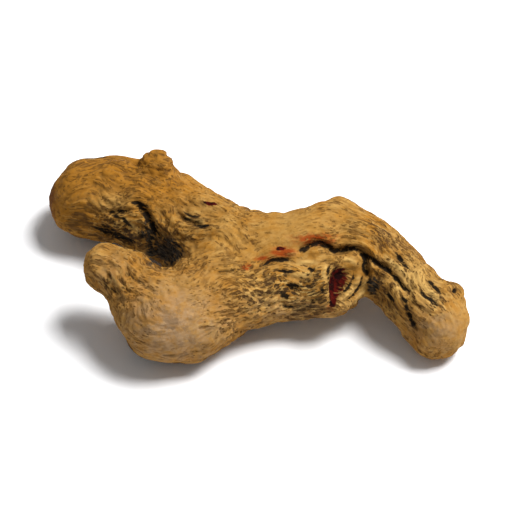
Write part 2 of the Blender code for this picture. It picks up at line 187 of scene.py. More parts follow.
DARK_STRANDS = [
    (0.22, [(14.4, 1.9), (13.9, 0.0), (13.0, -1.1), (11.8, -1.9)]),
    (0.22, [(13.2, 2.6), (13.1, 1.2), (12.4, 0.0), (11.4, -0.9)]),
    (0.22, [(10.0, 3.4), (9.6, 2.2), (9.8, 0.9)]),
    (0.25, [(8.6, 0.2), (8.9, -0.3), (8.8, -0.9)]),
    (0.30, [(6.9, 2.8), (7.4, 2.4), (7.9, 2.5)]),
    (0.45, [(4.0, 0.5), (4.9, 0.2), (5.9, 0.2)]),
    (0.45, [(3.0, -0.7), (3.8, -1.0), (4.5, -1.5)]),
    (0.28, [(0.2, 2.9), (2.4, 3.6), (5.0, 4.0)]),
    (0.42, [(5.7, 4.9), (6.4, 5.1), (7.3, 5.8)]),
    (0.25, [(2.6, 2.4), (4.2, 2.2), (5.8, 2.3)]),
    (0.32, [(-17.2, 11.6), (-15.4, 11.3), (-14.4, 10.6)]),
    (0.35, [(-22.6, 8.3), (-20.6, 7.5), (-18.2, 6.8), (-16.0, 5.9)]),
    (0.30, [(-19.8, 9.9), (-18.0, 9.2), (-16.6, 8.0)]),
    (0.28, [(-10.0, 10.6), (-9.0, 9.9), (-7.6, 9.6)]),
    (0.25, [(-8.6, 8.6), (-7.4, 8.3), (-6.2, 8.5)]),
    (0.38, [(18.9, -1.4), (19.8, -1.7), (20.6, -1.6)]),
    (0.28, [(17.4, -0.7), (18.0, -1.3), (18.5, -2.0)]),
    (0.28, [(23.0, 1.2), (24.0, 0.2), (24.9, -0.9)]),
    (0.40, [(26.4, -0.1), (27.0, -0.6)]),
]
RED_STRANDS = [
    (0.45, [(10.9, -0.6), (10.4, -1.6), (10.0, -2.9)]),
    (0.22, [(-7.2, 11.6), (-6.2, 11.3), (-5.0, 11.4)]),
    (0.24, [(2.6, 5.2), (3.3, 5.3), (4.2, 5.2)]),
]

# Spots on the front: x, rise, half-length along x, half-length up the picture and strength.
RAW_SPOTS = [  # orange flesh along the seam
    (3.6, 4.8, 1.6, 0.68, 1.5),
    (8.0, 6.5, 3.4, 0.90, 1.0),
    (1.0, 3.9, 1.2, 0.40, 1.1),
    (-1.2, 2.8, 0.8, 0.50, 1.1),
    (9.9, -2.9, 0.6, 0.60, 0.9),
]
# Painted shade: the deep clefts and the gap beside the broken branch are painted nearly black inside, where
# shade falls.
CLEFT_SHADE_SPOTS = [  # the deep clefts, nearly black inside
    (-12.4, 4.7, 2.5, 2.1, 1.0),
    (-14.6, 7.4, 1.1, 1.6, 0.8),
    (15.7, 0.3, 0.9, 1.4, 0.85),
]
BARE_SPOTS = [  # rubbed smooth in the fine relief and the colour
    (5.5, 9.2, 7.0, 2.4, 1.0),
    (26.0, -4.5, 2.4, 2.6, 0.5),
]
ROUGH_SPOTS = [  # strong dark marks among bright fibres
    (-17.0, 8.0, 6.0, 2.4, 1.0),
    (-24.0, 9.0, 3.6, 2.6, 0.4),
    (-8.0, 8.4, 3.6, 3.2, 0.4),
    (6.0, -0.3, 6.5, 4.6, 1.2),
    (1.0, -1.5, 4.0, 2.5, 0.9),
    (19.0, 0.5, 4.6, 5.0, 0.6),
    (17.5, 7.5, 4.0, 3.2, 0.6),
    (24.0, -1.5, 2.6, 3.0, 0.8),
    (-19.0, 0.6, 2.6, 2.0, 0.6),
    (-5.5, -4.8, 2.6, 2.0, 0.5),
]
GREY_SPOTS = [  # a dusty grey bloom
    (-11.0, -5.6, 6.5, 5.4, 1.0),
    (24.0, -5.5, 3.2, 3.0, 0.6),
    (-19.5, 2.0, 3.0, 3.0, 0.3),
    (4.0, -3.5, 7.0, 2.5, 0.4),
]
LIGHT_SPOTS = [  # brighter ochre
    (-19.4, 11.4, 2.6, 1.5, 0.7),
    (21.0, 0.8, 3.4, 2.6, 0.8),
    (-8.0, 10.4, 3.0, 1.8, 0.35),
]

# The blunt finger turns golden, and its end brown, between these distances left of, or behind, the middle.
GOLDEN_LEFT, GOLDEN_BEHIND = (4.0, 15.0), (0.0, 6.0)
BLUNT_END = (26.4, 28.4)
# Away from the front the skin turns rough in patches of this size, between these values of their noise.
ROUGH_PATCH_SIZE, ROUGH_PATCH_EDGE = 6.0, (-0.1, 0.3)
# Painted shade: cracks are painted black at their bottom, fully from this depth on.
SHADE_BLACK_DEPTH = 0.65  # a crack of this depth or more is black at its bottom

CURVE_STEPS = 3  # steps between two rows of an axis
SETTLE_STEPS = 5  # moves that bring the mesh onto the plain form
STEEPNESS_FLOOR = 0.25  # keeps such a move short where the directions of two blended forms cancel out
VOXEL = 0.225  # the spacing of the skin's mesh

# Colours are linear.
OCHRE = (0.308, 0.155, 0.031)
OCHRE_DEEP = (0.270, 0.112, 0.011)
OCHRE_PALE = (0.385, 0.222, 0.062)
OCHRE_GREY = (0.325, 0.208, 0.108)
OCHRE_BRIGHT = (0.520, 0.330, 0.105)
OCHRE_SHADE = (0.130, 0.060, 0.010)
GREY_SHADE = (0.180, 0.112, 0.060)
END_BROWN = (0.090, 0.024, 0.005)
# Colours of the dark marks, and of the painted shade in wrinkles, dents and pits.
MARK_AND_SHADE_BROWN = (0.110, 0.048, 0.010)
MARK_AND_SHADE_DARK = (0.040, 0.021, 0.008)
# Painted shade: the black at the bottom of cracks and inside the clefts.
CRACK_SHADE_BLACK = (0.007, 0.005, 0.003)
# Painted shade: the grey mixed with black inside the clefts.
CLEFT_SHADE_GREY = (0.058, 0.042, 0.026)
RAW_ORANGE = (0.255, 0.038, 0.003)
SCAR_RED = (0.060, 0.003, 0.001)
SCAR_DARK = (0.010, 0.001, 0.001)
FLOOR_WHITE = (0.90, 0.90, 0.91)
WHITE = (1.0, 1.0, 1.0)

# Patterns of the skin: their size in millimetres, the two noise values between which they fade in, and
# how much of them shows before and after that.
BLOTCHES = dict(size=6.0, fade=(0.35, 0.65))
MOTTLE = dict(size=1.6, detail=4.0, fade=(0.40, 0.66))
SPECKLE = dict(size=0.45, fade=(0.45, 0.70))
DOTS = dict(size=0.85, detail=2.0, fade=(0.52, 0.66), shows=(0.0, 0.45))
DOT_FIELDS = dict(size=3.0, fade=(0.40, 0.55), shows=(0.25, 1.0))
BLOOM = dict(size=1.3, detail=4.0, fade=(0.38, 0.60), shows=(0.35, 1.0))
SMUDGES = dict(size=1.6, fade=(0.49, 0.59), shows=(0.0, 0.65))
BARE_FIELDS = dict(size=4.0, fade=(0.42, 0.60), shows=(0.0, 0.8))
RED_FIELDS = dict(size=0.9, fade=(0.42, 0.58))

# Patterns along the flesh have a length and a width.
STREAKS = dict(length=2.4, width=0.45, fade=(0.50, 0.70), shows=(0.0, 0.65))
BRIGHT_FIBRES = dict(length=1.7, width=0.38, fade=(0.50, 0.60))
BREAKS = dict(length=1.2, width=0.5, fade=(0.35, 0.60), shows=(0.55, 1.4))
FRAYS = dict(length=0.8, width=0.32, fade=(0.38, 0.60), shows=(0.60, 1.25))
RAW_FIBRES = dict(length=1.4, width=0.5, fade=(0.38, 0.56), shows=(0.35, 1.0))
# Streaks that break up the painted shade in the clefts.
CLEFT_SHADE_FIBRES = dict(length=0.9, width=0.35, fade=(0.40, 0.62))

# Dark marks along the flesh. A mark fades out at its edge, and rags and bare skin bring that edge nearer
# its middle.
LARGE_MARKS = dict(length=2.4, width=0.72)
SMALL_MARKS = dict(length=1.2, width=0.40)
SMALL_MARK_SHARE = 0.75
MARK_EDGE = (0.96, 0.86)
RAG_REACH, BARE_REACH = 0.9, 0.28  # how far each brings the edge in
RAGS_PER_LENGTH, RAGS_PER_WIDTH, RAG_DETAIL = 2.5, 2.0, 2.0

# How one thing changes another: as the first goes from one value to the other, how much of the second shows.
GOLDEN_ON_FIBRES = dict(fade=(0.0, 1.0), shows=(1.0, 0.35))
GOLDEN_ON_DOTS = dict(fade=(0.0, 1.0), shows=(1.0, 1.7))
RUBBED_ON_STREAKS = dict(fade=(0.0, 1.0), shows=(1.0, 0.15))
ROUGH_ON_MARKS = dict(fade=(0.0, 0.5), shows=(0.50, 0.90))
WORN_ON_MARKS = dict(fade=(0.4, 1.0), shows=(1.0, 0.45))
# Painted shade: dents below the plain form and pits are painted darker, where shade falls in them.
DENT_SHADE_ON_MARKS = dict(fade=(-0.15, -1.0), shows=(0.0, 0.45))  # millimetres above the plain form
PIT_SHADE_ON_MARKS = dict(fade=(0.2, 0.9), shows=(0.0, 0.6))
BARE_ON_GRAIN = dict(fade=(0.2, 1.0), shows=(0.9, 0.25))
MOTTLE_ON_ROUGHNESS = dict(fade=(0.0, 1.0), shows=(0.95, 0.80))

# How far inside a spot or a crack its own colour fades in, and how strong it gets.
END_SHOWS = dict(fade=(0.15, 0.50), shows=(0.0, 0.8))
RAW_SHOWS = dict(fade=(0.05, 0.90), shows=(0.0, 0.95))
# Painted shade in the clefts and the cracks.
CLEFT_SHADE_SHOWS = dict(fade=(0.25, 0.60))
CRACK_SHADE_SHOWS = dict(fade=(0.32, 0.80), shows=(0.0, 0.97))
RED_SHOWS = dict(fade=(0.25, 0.60))

# How much of each thing shows, as a share.
MOTTLE_SHARE, SPECKLE_SHARE, WORN_PALENESS, GOLDEN_SHARE = 0.45, 0.30, 0.25, 0.88
# The last share is the painted shade down in the wrinkles.
LIGHT_SHARE, FIBRE_SHARE, WRINKLE_SHADE_SHARE = 0.6, 0.65, 0.40
RUBBED_SHARE, ROUGH_LOSS = 0.7, 0.35  # how much worn and grey skin adds to bareness, and rough skin takes off
END_NOISE_SIZE = 1.0  # the brown end is broken up by noise of this size

# The skin's gloss and the grain in its shading.
SPECULAR = 0.08
BUMP_HEIGHT, BUMP_STRENGTH = 0.16 * MM, 0.9
BUMP_FIBRES = dict(length=1.3, width=0.34)
BUMP_GRAIN = dict(size=0.5, detail=4.0)
BUMP_GRAIN_SHARE = 0.6
NOISE_DETAIL, NOISE_ROUGHNESS = 3.0, 0.6
MIX_SOCKETS = {"FLOAT": ((0, 2, 3), 0), "RGBA": ((0, 6, 7), 2)}  # where a mix takes and gives each kind

# The camera looks at the middle of the root from in front, from about as far as the picture was taken.
CAMERA_TARGET = Vector((0, 0, 6.44)) * MM
CAMERA_DISTANCE = 655 * MM
PICTURE_WIDTH = 69.4 * MM  # across the picture at the target
NEAR_CLIP = 10 * MM

# The studio: a floor just under the root, an even white sky and one lamp, in metres and watts.
FLOOR_HALF_WIDTH, FLOOR_DROP = 1.5, 0.00002
FLOOR_ROUGHNESS = 0.9
SKY_STRENGTH = 0.29
LAMP_DIRECTION = Vector((0.52, 0.14, 1.00))
LAMP_DISTANCE, LAMP_SIZE, LAMP_POWER = 0.9, 0.42, 15.6


def smooth_axis(rows, steps=CURVE_STEPS):
    """The rows joined by a Catmull-Rom curve, radius included, so that the flesh bends and swells gently."""
    rows = np.array(rows, float)
    if len(rows) < 3:
        return rows
    before, after = 2 * rows[0] - rows[1], 2 * rows[-1] - rows[-2]
    knots = np.vstack([before, rows, after])
    share = np.linspace(0, 1, steps, endpoint=False)[:, None]
    spans = []
    for a, b, c, d in zip(knots[:-3], knots[1:-2], knots[2:-1], knots[3:]):
        bend = (2 * a - 5 * b + 4 * c - d) * share**2 + (3 * b - a - 3 * c + d) * share**3
        spans.append(0.5 * (2 * b + (c - a) * share + bend))
    return np.vstack([*spans, rows[-1:]])


def side_frame(axis):
    """At each row of an axis, two directions across it that don't twist from row to row."""
    tangents = np.gradient(axis[:, :3], axis=0)
    tangents /= np.linalg.norm(tangents, axis=1, keepdims=True)
    side = np.cross(tangents[0], (0, 0, 1.0))
    sides = []
    for tangent in tangents:
        side = side - tangent * (side @ tangent)
        side = side / np.linalg.norm(side)
        sides.append(side)
    sides = np.array(sides)
    return sides, np.cross(tangents, sides)


class Sweep:
    """Round flesh swept along an axis, for measuring points against."""

    def __init__(self, rows, ends=ROUND_ENDS):
        self.axis = smooth_axis(rows)
        self.ends = ends
        self.sides, self.ups = side_frame(self.axis)
        steps = np.linalg.norm(np.diff(self.axis[:, :3], axis=0), axis=1)
        self.along = np.concatenate([[0], np.cumsum(steps)])

    def measure(self, points):
        """For each point: height above the flesh and the direction outwards."""
        height = np.full(len(points), np.inf)
        outwards = np.zeros((len(points), 3))
        last = len(self.axis) - 2
        for i in range(last + 1):
            start, span = self.axis[i, :3], self.axis[i + 1, :3] - self.axis[i, :3]
            length = np.linalg.norm(span)
            reach = ((points - start) @ span) / length**2
            share = np.clip(reach, 0, 1)
            off = points - start - share[:, None] * span
            beyond = (reach - share) * length
            if i > 0:
                beyond = np.maximum(beyond, 0)
            if i < last:
                beyond = np.minimum(beyond, 0)
            blunt = np.where(beyond < 0, self.ends[0], self.ends[1])
            stretched = off + (beyond * (1 / blunt - 1) / length)[:, None] * span
            distance = np.linalg.norm(stretched, axis=1)
            radius = self.axis[i, 3] + share * (self.axis[i + 1, 3] - self.axis[i, 3])
            nearer = distance - radius < height
            height = np.where(nearer, distance - radius, height)
            outwards[nearer] = (stretched / np.maximum(distance, 1e-9)[:, None])[nearer]
        return height, outwards

    def place(self, points):
        """Where each point is along and across the axis, without a jump where the axis bends."""
        distance = [np.linalg.norm(points - row[:3], axis=1) - row[3] for row in self.axis]
        distance = np.stack(distance, axis=1)
        weight = np.exp((distance.min(axis=1, keepdims=True) - distance) / PLACE_BLEND)
        weight /= weight.sum(axis=1, keepdims=True)
        off = points - weight @ self.axis[:, :3]
        across = (off * (weight @ self.sides)).sum(1)
        up = (off * (weight @ self.ups)).sum(1)
        return np.column_stack([weight @ self.along, across, up])


SPINE_FLESH = Sweep(SPINE, SPINE_ENDS)
HEEL_FLESH = Sweep(HEEL, HEEL_ENDS)
WEB_FLESH = Sweep(WEB)
KNOBS = [Sweep(rows) for rows in (BUD, KNEE, TOE, BACK_BUD)]


def blended(first, second, width):
    """Two heights with their outward directions, joined by a fillet of that width."""
    share = np.clip(0.5 + 0.5 * (second[0] - first[0]) / width, 0, 1)
    height = second[0] * (1 - share) + first[0] * share - width * share * (1 - share)
    weight = share[:, None]
    return height, second[1] * (1 - weight) + first[1] * weight


def broken_off(points, heel):
    """The heel's height and direction with the flesh beyond the broken face taken away."""
    face = (points - SCAR) @ SCAR_FACE
    cut = (-face, -np.broadcast_to(SCAR_FACE, points.shape))
    kept = blended((-heel[0], -heel[1]), cut, FACE_BLEND)
    return -kept[0], -kept[1]


def measure_form(points):
    """Height above the plain form, direction outwards, and how far each point belongs to the spine."""
    spine = SPINE_FLESH.measure(points)
    heel = HEEL_FLESH.measure(points)
    form = blended(spine, broken_off(points, heel), CREASE)
    form = blended(form, WEB_FLESH.measure(points), FILLET)
    for knob in KNOBS:
        form = blended(form, knob.measure(points), KNOB_FILLET)
    return form[0], form[1], 1 / (1 + np.exp(spine[0] - heel[0]))


def waves(places, sizes):
    """Smooth noise from -1 to 1 at each place, with a wavelength for each direction."""
    return np.array([noise.noise(place) for place in (places / sizes).tolist()])


def axis_waves(places, spine_share, shift, sizes):
    """Noise whose wavelengths run along and across the axis that each point belongs to."""
    along_spine, along_heel = (waves(place + shift, sizes) for place in places)
    return spine_share * along_spine + (1 - spine_share) * along_heel


def axis_places(points):
    """Where the points are on the spine and on the heel, with a slow wander so that no line runs straight."""
    wander = np.column_stack([waves(points + shift, (WANDER_SIZE,) * 3) for shift in WANDER_SHIFTS])
    return [flesh.place(points) + WANDER * wander for flesh in (SPINE_FLESH, HEEL_FLESH)]


def furrows_and_rings(points, spine_share):
    """Furrows along the flesh and faint rings round it, both weaker where it is rubbed."""
    places = axis_places(points)
    across = axis_waves(places, spine_share, FURROW_SHIFT, (FURROW_LENGTH, FURROW_SPACING, FURROW_SPACING))
    furrow = np.exp(-((across / FURROW_SHARPNESS) ** 2))
    rings = [np.cos(2 * np.pi * place[:, 0] / RING_PITCH) for place in places]
    ring = spine_share * rings[0] + (1 - spine_share) * rings[1]
    height = RING_HEIGHT * ring + FURROW_DEPTH * (CREST_SHARE * np.abs(across) - CUT_SHARE * furrow)
    return height * (1 - WORN_LOSS * worn_share(points))


def nearness(points, middle, radius):
    """From 1 at the middle of a round spot to nearly 0 at twice its radius."""
    return np.exp(-(((points - middle) / radius) ** 2).sum(1))


def worn_share(points):
    """How rubbed each point is, from 0 to 1."""
    worn = np.zeros(len(points))
    for *middle, radius in WORN:
        worn = np.maximum(worn, nearness(points, middle, radius))
    return worn


def front_share(outwards):
    """How far each point belongs to the front, from the direction outwards there."""
    return np.clip(outwards @ VIEW_BACK / FRONT_EDGE, 0, 1)


def crack_share(points, facing, half_width, chain):
    """How far each point is down in one crack, from 0 on the skin to 1 at its bottom."""
    place = np.column_stack([points[:, 0], points @ VIEW_RISE])
    chain = np.array(chain)
    spans = np.diff(chain, axis=0)
    lengths = np.linalg.norm(spans, axis=1)
    starts = np.concatenate([[0], np.cumsum(lengths)])
    nearest = np.full(len(points), np.inf)
    reach = np.zeros(len(points))
    for start, span, length, before in zip(chain, spans, lengths, starts):
        share = np.clip(((place - start) @ span) / length**2, 0, 1)
        distance = np.linalg.norm(place - start - share[:, None] * span, axis=1)
        nearer = distance < nearest
        nearest[nearer] = distance[nearer]
        reach[nearer] = ((before + share * length) / starts[-1])[nearer]
    taper = np.sqrt(np.clip(4 * reach * (1 - reach), 0, 1))
    return facing * taper * np.exp(-((nearest / half_width) ** 2))


def scar_relief(points, facing):
    """The torn hole with its fibrous rims, and how much of each point belongs to the hole."""
    off = points - SCAR
    along = off @ SCAR_LONG
    across = off @ np.cross(SCAR_LONG, SCAR_FACE)
    half_width = SCAR_HALF_WIDTH * (1 + SCAR_TAPER * np.clip(along / SCAR_HALF_LENGTH, -1, 1))
    reach = np.hypot(along / SCAR_HALF_LENGTH, across / half_width)
    hollow = facing * np.exp(-(reach**4))
    rims = sum(rise * np.exp(-(((reach - out) / SCAR_RIM_WIDTH) ** 2)) for out, rise in SCAR_RIMS)
    torn = SCAR_LOW_SIDE + (1 - SCAR_LOW_SIDE) * np.clip(across / SCAR_HALF_WIDTH, 0, 1)
    return facing * rims * torn - SCAR_DEPTH * hollow, hollow


def relief(points, outwards, spine_share):
    """Height of the skin over the plain form."""
    height = sum(rise * waves(points, (size, size, size)) for rise, size in LUMPS)
    height += furrows_and_rings(points, spine_share)
    facing = front_share(outwards)
    rims, hollow = scar_relief(points, facing)
    height = height * (1 - hollow) + rims
    for depth, half_width, chain in CRACKS:
        height -= depth * crack_share(points, facing, half_width, chain)
    for *middle, radius, depth in PITS:
        height -= depth * nearness(points, middle, radius)
    return height


def mesh_points(mesh):
    """The mesh's points, as rows of x, y and z."""
    points = np.empty(len(mesh.vertices) * 3)
    mesh.vertices.foreach_get("co", points)
    return points.reshape(-1, 3)


def set_points(mesh, points):
    """Moves the mesh's points."""
    mesh.vertices.foreach_set("co", points.ravel())
    mesh.update()


def remeshed(mesh):
    """A mesh laid anew in even quads."""
    obj = bpy.data.objects.new("remesh", mesh)
    bpy.context.collection.objects.link(obj)
    remesh = obj.modifiers.new("even", "REMESH")
    remesh.mode = "VOXEL"
    remesh.voxel_size = VOXEL * MM
    graph = bpy.context.evaluated_depsgraph_get()
    even = bpy.data.meshes.new_from_object(obj.evaluated_get(graph))
    bpy.data.objects.remove(obj)
    return even


def settled(points):
    """The points moved onto the plain form."""
    for _ in range(SETTLE_STEPS):
        height, outwards, _ = measure_form(points)
        steepness = np.maximum((outwards**2).sum(1), STEEPNESS_FLOOR)
        points = points - outwards * (height / steepness)[:, None]
    return points


def unit(vectors):
    """The vectors, each made one long."""
    return vectors / np.maximum(np.linalg.norm(vectors, axis=1), 1e-6)[:, None]


def smooth_step(values, low, high):
    """From 0 at low to 1 at high, with soft ends."""
    share = np.clip((values - low) / (high - low), 0, 1)
    return share * share * (3 - 2 * share)


def fine_relief(points, spine_share, worn):
    """Wrinkles along the flesh and a fine grain, and how far each point is down in a wrinkle."""
    sizes = (WRINKLE_LENGTH, WRINKLE_WIDTH, WRINKLE_WIDTH)
    wave = axis_waves(axis_places(points), spine_share, WRINKLE_SHIFT, sizes)
    line = np.exp(-((wave / WRINKLE_SHARPNESS) ** 2)) * (1 - WRINKLE_WORN_LOSS * worn)
    grain = waves(points + GRAIN_SHIFT, (GRAIN_SIZE,) * 3)
    return GRAIN_HEIGHT * grain - WRINKLE_DEPTH * line, line


def strand_share(points, facing, strands):
    """How far inside any of the strands each point is."""
    return np.max([crack_share(points, facing, *strand) for strand in strands], axis=0)


def cracks_share(points, facing):
    """How far down in any of the cracks each point is, less in the shallow ones; this sets their painted
    black shade.
    """
    shares = [min(depth / SHADE_BLACK_DEPTH, 1) * crack_share(points, facing, *crack) for depth, *crack in CRACKS]
    return np.max(shares, axis=0)


def spot_share(points, facing, spots):
    """How far inside any of the spots on the front each point is."""
    rise = points @ VIEW_RISE
    share = np.zeros(len(points))
    for x, y, half_length, half_rise, strength in spots:
        near = ((points[:, 0] - x) / half_length) ** 2 + ((rise - y) / half_rise) ** 2
        share = np.maximum(share, strength * np.exp(-near))
    return share * facing


def rough_share(points, facing):
    """How rough the skin is: as the picture shows on the front, and in patches where it doesn't show."""
    patches = smooth_step(waves(points + ROUGH_SHIFT, (ROUGH_PATCH_SIZE,) * 3), *ROUGH_PATCH_EDGE)
    return np.maximum((1 - facing) * patches, spot_share(points, facing, ROUGH_SPOTS))


def colour_places(points, facing):
    """What the material has to know of each point besides its relief."""
    leftwards = -points[:, 0]
    golden = smooth_step(leftwards, *GOLDEN_LEFT) * smooth_step(points[:, 1], *GOLDEN_BEHIND)
    pits = [nearness(points, middle, radius) for *middle, radius, _ in PITS]
    return {
        "red": strand_share(points, facing, RED_STRANDS),
        "rough": rough_share(points, facing),
        "raw": spot_share(points, facing, RAW_SPOTS),
        # Painted shade: the dark attribute marks the clefts, which are painted nearly black inside.
        "dark": spot_share(points, facing, CLEFT_SHADE_SPOTS),
        "grey": spot_share(points, facing, GREY_SPOTS),
        "light": spot_share(points, facing, LIGHT_SPOTS),
        "end": smooth_step(leftwards, *BLUNT_END),
        "golden": golden,
        "pit": np.max(pits, axis=0),
    }


def keep(mesh, name, values):
    """Stores one number, or one vector, for each point of a mesh."""
    kind, field = ("FLOAT", "value") if values.ndim == 1 else ("FLOAT_VECTOR", "vector")
    mesh.attributes.new(name, kind, "POINT").data.foreach_set(field, values.astype(np.float32).ravel())


def coarse_skin():
    """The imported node's mesh laid on the form that it was made from, with the large relief."""
    mesh = remeshed(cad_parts["turmeric_root"].data.copy())
    points = settled(mesh_points(mesh) / MM)
    _, outwards, spine_share = measure_form(points)
    outwards = unit(outwards)
    set_points(mesh, (points + outwards * relief(points, outwards, spine_share)[:, None]) * MM)
    return remeshed(mesh)


def make_skin():
    """The rhizome's skin with its fine relief, and the attributes that its material reads."""
    mesh = coarse_skin()
    points = mesh_points(mesh) / MM
    height, outwards, spine_share = measure_form(points)
    outwards = unit(outwards)
    facing = front_share(outwards)
    worn = np.maximum(worn_share(points), spot_share(points, facing, BARE_SPOTS))
    fine, line = fine_relief(points, spine_share, worn)
    _, hollow = scar_relief(points, facing)
    on_spine, on_heel = axis_places(points)
    pale = strand_share(points, facing, PALE_STRANDS)
    dark = strand_share(points, facing, DARK_STRANDS)
    kept = {
        "height": height,
        "line": line,
        "worn": worn,
        "scar": hollow,
        "spine_share": spine_share,
        "on_spine": on_spine,
        "on_heel": on_heel,
        # Painted shade: the crack attribute paints the cracks black, and the dark strands take the same
        # black.
        "crack": np.maximum(cracks_share(points, facing), dark),
        "pale": pale,
        **colour_places(points, facing),
    }
    for name, values in kept.items():
        keep(mesh, name, values)
    fine += STRAND_HEIGHT * pale - GROOVE_DEPTH * dark
    points = points + outwards * (fine * (1 - hollow))[:, None]
    points[:, 2] = np.maximum(points[:, 2], 0)
    set_points(mesh, points * MM)
    mesh.shade_smooth()
    skin = bpy.data.objects.new("rhizome_skin", mesh)
    bpy.context.scene.collection.objects.link(skin)
    return skin


class Nodes:
    """A material's node tree, with one short call for each kind of node."""

    def __init__(self, name):
        self.material = bpy.data.materials.new(name)
        self.material.use_nodes = True
        self.tree = self.material.node_tree
        self.shader = self.tree.nodes["Principled BSDF"]

    def add(self, kind, **settings):
        """A new node of that kind."""
        node = self.tree.nodes.new(kind)
        for name, value in settings.items():
            setattr(node, name, value)
        return node

    def join(self, source, target):
        """Links an output to a socket."""
        self.tree.links.new(source, target)

    def put(self, value, socket):
        """A number, a colour or another node's output, into a socket."""
        if isinstance(value, bpy.types.NodeSocket):
            self.join(value, socket)
        elif isinstance(value, tuple) and len(value) == 3:
            socket.default_value = (*value, 1)
        else:
            socket.default_value = value

    def attribute(self, name):
        """A number that the mesh keeps for each point."""
        return self.add("ShaderNodeAttribute", attribute_name=name).outputs["Fac"]

    def maths(self, operation, first, second):
        """One step of arithmetic."""
        node = self.add("ShaderNodeMath", operation=operation)
        self.put(first, node.inputs[0])
        self.put(second, node.inputs[1])
        return node.outputs["Value"]

    def times(self, first, second):
        return self.maths("MULTIPLY", first, second)

    def plus(self, first, second):
        return self.maths("ADD", first, second)

    def minus(self, first, second):
        return self.maths("SUBTRACT", first, second)

    def larger(self, first, second):
        return self.maths("MAXIMUM", first, second)

    def mix(self, share, first, second, kind="RGBA"):
        """The first colour, or number, with that share of the second over it."""
        node = self.add("ShaderNodeMix", data_type=kind)
        places, result = MIX_SOCKETS[kind]
        for value, place in zip((share, first, second), places):
            self.put(value, node.inputs[place])
        return node.outputs[result]

    def ramp(self, value, fade, shows=(0.0, 1.0)):
        """As the value goes through the two ends of fade, a smooth change between the two of shows."""
        node = self.add("ShaderNodeMapRange", interpolation_type="SMOOTHSTEP")
        self.put(value, node.inputs["Value"])
        for name, number in zip(("From Min", "From Max", "To Min", "To Max"), (*fade, *shows)):
            node.inputs[name].default_value = number
        return node.outputs["Result"]

    def noise(self, size, detail=NOISE_DETAIL):
        """Noise whose waves are about that many millimetres long."""
        node = self.add("ShaderNodeTexNoise")
        self.join(self.add("ShaderNodeTexCoord").outputs["Object"], node.inputs["Vector"])
        node.inputs["Scale"].default_value = 1 / (size * MM)
        node.inputs["Detail"].default_value = detail
        node.inputs["Roughness"].default_value = NOISE_ROUGHNESS
        return node.outputs["Fac"]

    def along_flesh(self, kind, output, length, width, **settings):
        """A texture drawn out along the flesh, with features of that length and width in millimetres."""
        both = []
        for name in ("on_heel", "on_spine"):
            place = self.add("ShaderNodeAttribute", attribute_name=name).outputs["Vector"]
            stretch = self.add("ShaderNodeVectorMath", operation="MULTIPLY")
            self.join(place, stretch.inputs[0])
            stretch.inputs[1].default_value = (1 / length, 1 / width, 1 / width)
            node = self.add(kind)
            self.join(stretch.outputs["Vector"], node.inputs["Vector"])
            for socket, value in {"Scale": 1, **settings}.items():
                node.inputs[socket].default_value = value
            both.append(node.outputs[output])
        return self.mix(self.attribute("spine_share"), *both, kind="FLOAT")

    def fibres(self, length, width, detail=NOISE_DETAIL):
        """Noise drawn out along the flesh."""
        settings = {"Detail": detail, "Roughness": NOISE_ROUGHNESS}
        return self.along_flesh("ShaderNodeTexNoise", "Fac", length, width, **settings)

    def patches(self, size, fade, shows=(0.0, 1.0), detail=NOISE_DETAIL):
        """Soft patches of about that size."""
        return self.ramp(self.noise(size, detail), fade, shows)

    def strands(self, length, width, fade, shows=(0.0, 1.0)):
        """Soft patches drawn out along the flesh."""
        return self.ramp(self.fibres(length, width), fade, shows)

    def marks(self, length, width, bare):
        """Short ragged marks along the flesh, fewer where bare is high."""
        spots = self.along_flesh("ShaderNodeTexVoronoi", "Distance", length, width)
        rags = self.fibres(length / RAGS_PER_LENGTH, width / RAGS_PER_WIDTH, RAG_DETAIL)
        distance = self.plus(spots, self.times(rags, RAG_REACH))
        return self.ramp(self.plus(distance, self.times(bare, BARE_REACH)), MARK_EDGE)


def ground_colour(nodes, mottle):
    """Ochre in blotches, paler where worn, golden on the blunt finger, with small darker dots."""
    colour = nodes.mix(nodes.patches(**BLOTCHES), OCHRE_DEEP, OCHRE)
    colour = nodes.mix(nodes.times(mottle, MOTTLE_SHARE), colour, OCHRE_PALE)
    colour = nodes.mix(nodes.times(nodes.attribute("worn"), WORN_PALENESS), colour, OCHRE_PALE)
    golden = nodes.attribute("golden")
    colour = nodes.mix(nodes.times(golden, GOLDEN_SHARE), colour, OCHRE_DEEP)
    dots = nodes.times(nodes.patches(**DOTS), nodes.patches(**DOT_FIELDS))
    dots = nodes.times(dots, nodes.ramp(golden, **GOLDEN_ON_DOTS))
    return nodes.mix(dots, colour, OCHRE_SHADE)


def dusty_colour(nodes, colour, rubbed, fibrous):
    """The ground with pale streaks, grey bloom, speckle, light places and the finger's brown end."""
    streaks = nodes.times(nodes.strands(**STREAKS), nodes.ramp(rubbed, **RUBBED_ON_STREAKS))
    colour = nodes.mix(nodes.times(streaks, fibrous), colour, OCHRE_PALE)
    grey = nodes.attribute("grey")
    colour = nodes.mix(nodes.times(grey, nodes.patches(**BLOOM)), colour, OCHRE_GREY)
    colour = nodes.mix(nodes.times(grey, nodes.patches(**SMUDGES)), colour, GREY_SHADE)
    colour = nodes.mix(nodes.times(nodes.patches(**SPECKLE), SPECKLE_SHARE), colour, OCHRE_DEEP)
    colour = nodes.mix(nodes.times(nodes.attribute("light"), LIGHT_SHARE), colour, OCHRE_BRIGHT)
    end = nodes.times(nodes.attribute("end"), nodes.noise(END_NOISE_SIZE))
    return nodes.mix(nodes.ramp(end, **END_SHOWS), colour, END_BROWN)


